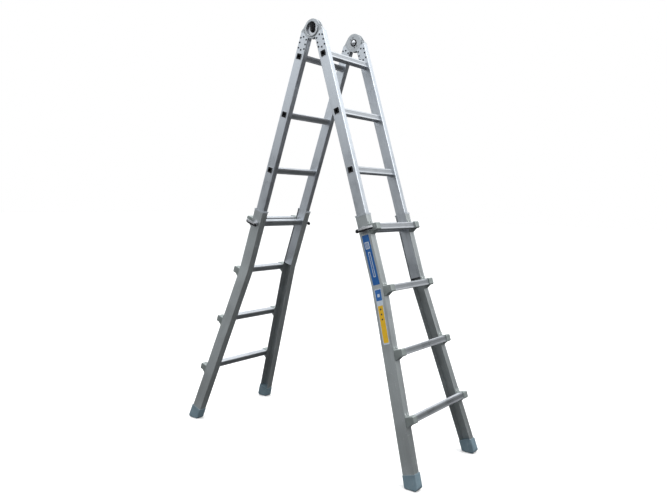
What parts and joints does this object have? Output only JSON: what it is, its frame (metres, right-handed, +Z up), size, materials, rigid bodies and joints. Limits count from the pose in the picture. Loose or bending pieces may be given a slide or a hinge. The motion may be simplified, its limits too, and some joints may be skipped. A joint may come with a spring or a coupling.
{
  "type": "multi position ladder",
  "caption": "Telescopic multi position ladder: two leaning sections on locking hinges, each with an outer frame on flared rails that slides over an inner frame.",
  "frame": {"origin": "centre of the four soles, on the floor, under the middle of the hinge axis", "axes": "+Z up, +X towards the front section, +Y across the ladder to the user's right; the hinge axis is parallel to Y"},
  "size_m": [1.4146, 0.581, 2.0261],
  "materials": {
    "inner_rail": "extruded, satin",
    "outer_rail": "extruded, grey, satin",
    "rung": "extruded, ribbed",
    "bracket": "cast, matt",
    "rivet": "dull",
    "shoe": "moulded, blue-grey",
    "label": "printed film",
    "collar": "moulded, grey",
    "hinge_steel": "zinc plated",
    "bolt_steel": "zinc plated",
    "lock_bar": "bright",
    "black_plastic": "moulded, black"
  },
  "bodies": {
    "front_inner_frame": {"front_left_inner_rail": "inner_rail", "front_right_inner_rail": "inner_rail", "front_inner_rung_1": "rung", "front_inner_rung_2": "rung", "front_inner_rung_3": "rung", "front_inner_rung_4": "rung", "front_rung_bushes": "black_plastic", "front_rail_end_plugs": "black_plastic", "front_left_hinge_half": "hinge_steel", "front_right_hinge_half": "hinge_steel", "front_hinge_rivets": "rivet", "left_hinge_cup": "hinge_steel", "right_hinge_cup": "hinge_steel", "left_pivot_bolt": "bolt_steel", "right_pivot_bolt": "bolt_steel"},
    "front_outer_frame": {"front_left_outer_rail": "outer_rail", "front_right_outer_rail": "outer_rail", "front_outer_rung_1": "rung", "front_outer_rung_2": "rung", "front_outer_rung_3": "rung", "front_outer_rung_4": "rung", "front_rung_brackets": "bracket", "front_bracket_rivets": "rivet", "front_shoes": "shoe", "front_lock_sleeves": "bolt_steel", "front_guide_collars": "collar"},
    "front_left_lock": {"front_left_lock_bar": "lock_bar", "front_left_lock_grip": "black_plastic"},
    "front_right_lock": {"front_right_lock_bar": "lock_bar", "front_right_lock_grip": "black_plastic"},
    "rear_inner_frame": {"rear_left_inner_rail": "inner_rail", "rear_right_inner_rail": "inner_rail", "rear_inner_rung_1": "rung", "rear_inner_rung_2": "rung", "rear_inner_rung_3": "rung", "rear_inner_rung_4": "rung", "rear_rung_bushes": "black_plastic", "rear_rail_end_plugs": "black_plastic", "rear_left_hinge_half": "hinge_steel", "rear_right_hinge_half": "hinge_steel", "rear_hinge_rivets": "rivet"},
    "rear_outer_frame": {"rear_left_outer_rail": "outer_rail", "rear_right_outer_rail": "outer_rail", "rear_outer_rung_1": "rung", "rear_outer_rung_2": "rung", "rear_outer_rung_3": "rung", "rear_outer_rung_4": "rung", "rear_rung_brackets": "bracket", "rear_bracket_rivets": "rivet", "rear_shoes": "shoe", "rear_lock_sleeves": "bolt_steel", "rear_guide_collars": "collar"},
    "rear_left_lock": {"rear_left_lock_bar": "lock_bar", "rear_left_lock_grip": "black_plastic"},
    "rear_right_lock": {"rear_right_lock_bar": "lock_bar", "rear_right_lock_grip": "black_plastic"},
    "left_lever": {"left_release_lever": "black_plastic"},
    "left_plunger": {"left_lock_plunger": "bolt_steel"},
    "right_lever": {"right_release_lever": "black_plastic"},
    "right_plunger": {"right_lock_plunger": "bolt_steel"}
  },
  "joints": [
    {"name": "fold", "type": "hinge", "parent": "front_inner_frame", "child": "rear_inner_frame", "pos_m": [0, 0, 1.98112], "axis": [0, 1, 0], "range_deg": [-36, 144]},
    {"name": "front_telescope", "type": "slide", "parent": "front_inner_frame", "child": "front_outer_frame", "axis": [-0.309, 0, 0.9511], "range_m": [0, 0.84]},
    {"name": "front_left_lock_pull", "type": "slide", "parent": "front_outer_frame", "child": "front_left_lock", "axis": [0, 1, 0], "range_m": [0, 0.01]},
    {"name": "front_right_lock_pull", "type": "slide", "parent": "front_outer_frame", "child": "front_right_lock", "axis": [0, -1, 0], "range_m": [0, 0.01]},
    {"name": "rear_telescope", "type": "slide", "parent": "rear_inner_frame", "child": "rear_outer_frame", "axis": [0.309, 0, 0.9511], "range_m": [0, 0.84]},
    {"name": "rear_left_lock_pull", "type": "slide", "parent": "rear_outer_frame", "child": "rear_left_lock", "axis": [0, 1, 0], "range_m": [0, 0.01]},
    {"name": "rear_right_lock_pull", "type": "slide", "parent": "rear_outer_frame", "child": "rear_right_lock", "axis": [0, -1, 0], "range_m": [0, 0.01]},
    {"name": "left_lever_turn", "type": "hinge", "parent": "front_inner_frame", "child": "left_lever", "pos_m": [0, 0, 1.98112], "axis": [0, 1, 0], "range_deg": [0, 30], "stiffness_Nm_per_rad": 0.3},
    {"name": "left_pin_plunge", "type": "slide", "parent": "front_inner_frame", "child": "left_plunger", "axis": [0, 1, 0], "range_m": [0, 0.005]},
    {"name": "right_lever_turn", "type": "hinge", "parent": "front_inner_frame", "child": "right_lever", "pos_m": [0, 0, 1.98112], "axis": [0, -1, 0], "range_deg": [0, 30], "stiffness_Nm_per_rad": 0.3},
    {"name": "right_pin_plunge", "type": "slide", "parent": "front_inner_frame", "child": "right_plunger", "axis": [0, -1, 0], "range_m": [0, 0.005]}
  ],
  "couplings": [
    {"joint": "left_lever_turn", "follows": "left_pin_plunge", "rad_per_m": 104.68},
    {"joint": "right_lever_turn", "follows": "right_pin_plunge", "rad_per_m": 104.68}
  ]
}
